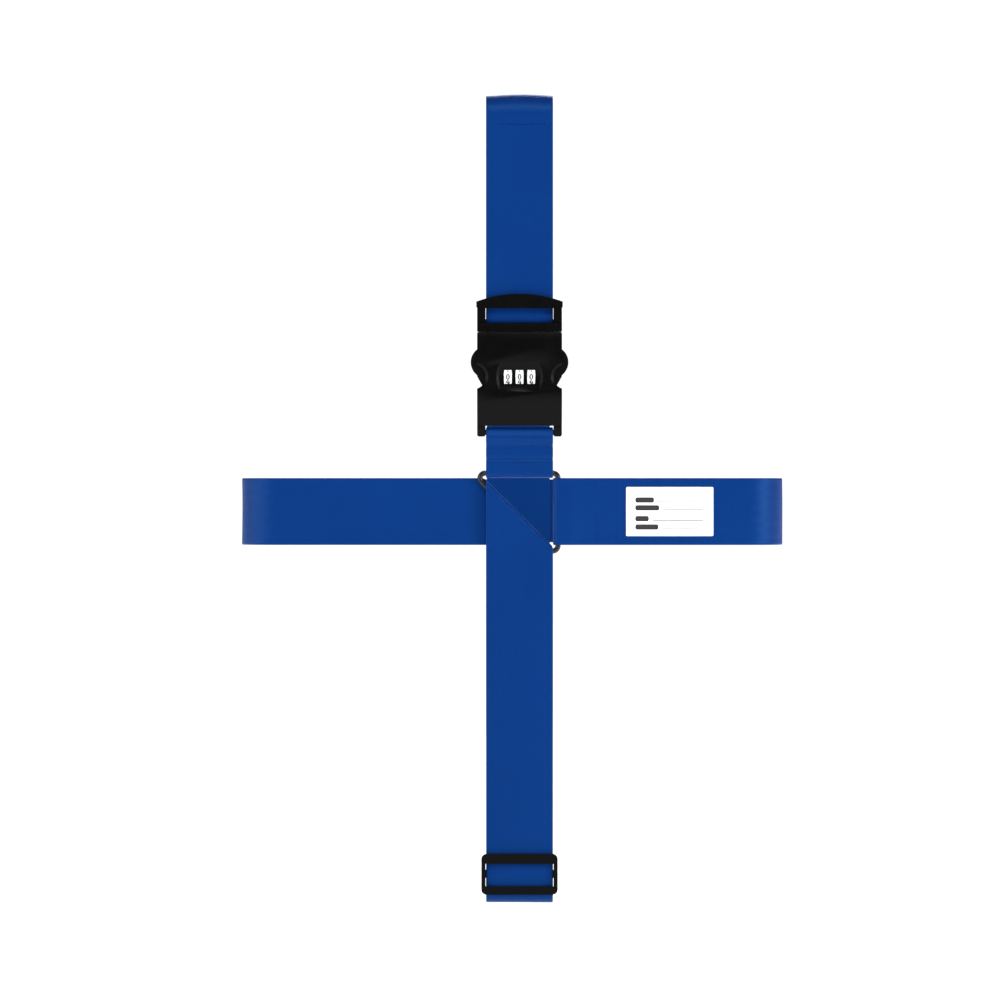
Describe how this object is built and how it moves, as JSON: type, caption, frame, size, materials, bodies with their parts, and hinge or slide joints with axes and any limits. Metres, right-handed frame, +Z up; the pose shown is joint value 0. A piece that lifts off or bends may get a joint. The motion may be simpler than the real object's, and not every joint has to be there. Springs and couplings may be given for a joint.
{
  "type": "luggage strap",
  "caption": "Cross luggage strap: two webbing loops joined by a three-sided ring, with a combination side-release buckle, a length slide and a name label.",
  "frame": {"origin": "on the webbing's inner face under the case, at the middle of the case's width and depth", "axes": "+Z up along the case's height, +Y from the case's front to its back, +X to the right of someone who faces the buckle"},
  "size_m": [0.406, 0.2711, 0.603],
  "materials": {
    "webbing": "close-woven blue polyester webbing with a slight sheen",
    "buckle_black": "moulded black plastic, half gloss",
    "dial_white": "moulded off-white plastic",
    "label_white": "coated white label fabric",
    "ring_black": "steel wire with a black coating, half gloss",
    "lock_steel": "plain steel"
  },
  "bodies": {
    "strap": {"girth_webbing": "webbing", "length_webbing": "webbing", "buckle_webbing": "webbing", "link_webbing": "webbing", "triangle_ring": "ring_black", "name_label": "label_white", "lock_front_cover": "buckle_black", "lock_back_cover": "buckle_black", "lock_screws": "lock_steel", "dial_spindle": "lock_steel", "detent_spring": "lock_steel", "plate_springs": "lock_steel", "reset_spring": "lock_steel"},
    "slide": {"webbing_slide": "buckle_black"},
    "dial_left": {"dial_1": "dial_white", "dial_sleeve_1": "lock_steel"},
    "dial_middle": {"dial_2": "dial_white", "dial_sleeve_2": "lock_steel"},
    "dial_right": {"dial_3": "dial_white", "dial_sleeve_3": "lock_steel"},
    "plate": {"lock_plate": "lock_steel"},
    "reset": {"reset_button": "lock_steel"},
    "plug": {"plug_base": "buckle_black"},
    "arm_left": {"plug_arm_left": "buckle_black"},
    "arm_right": {"plug_arm_right": "buckle_black"}
  },
  "joints": [
    {"name": "slide_travel", "type": "slide", "parent": "strap", "child": "slide", "axis": [0, 0, 1], "range_m": [0, 0.2]},
    {"name": "dial_left_turn", "type": "hinge", "parent": "strap", "child": "dial_left", "pos_m": [-0.0032, -0.1352, 0.3906], "axis": [1, 0, 0], "continuous": true},
    {"name": "dial_middle_turn", "type": "hinge", "parent": "strap", "child": "dial_middle", "pos_m": [0.0055, -0.1352, 0.3906], "axis": [1, 0, 0], "continuous": true},
    {"name": "dial_right_turn", "type": "hinge", "parent": "strap", "child": "dial_right", "pos_m": [0.0142, -0.1352, 0.3906], "axis": [1, 0, 0], "continuous": true},
    {"name": "plug_release", "type": "slide", "parent": "strap", "child": "plug", "axis": [0, 0, 1], "range_m": [0, 0.055], "deforming": ["buckle_webbing", "plug_arm_left", "plug_arm_right"]},
    {"name": "arm_right_squeeze", "type": "hinge", "parent": "plug", "child": "arm_right", "pos_m": [0.03, -0.134, 0.4227], "axis": [0, 1, 0], "range_deg": [0, 6], "stiffness_Nm_per_rad": 1.5},
    {"name": "arm_left_squeeze", "type": "hinge", "parent": "plug", "child": "arm_left", "pos_m": [-0.019, -0.134, 0.4227], "axis": [0, -1, 0], "range_deg": [0, 6], "stiffness_Nm_per_rad": 1.5},
    {"name": "plate_press", "type": "slide", "parent": "strap", "child": "plate", "axis": [0, 0, -1], "range_m": [0, 0.0021], "deforming": ["plate_springs"]},
    {"name": "reset_press", "type": "slide", "parent": "strap", "child": "reset", "axis": [0, -1, 0], "range_m": [0, 0.0006], "stiffness_N_per_m": 800, "deforming": ["reset_spring"]}
  ],
  "couplings": [
    {"joint": "arm_left_squeeze", "follows": "arm_right_squeeze", "ratio": 1},
    {"joint": "plate_press", "follows": "arm_right_squeeze", "m_per_rad": 0.0195}
  ]
}
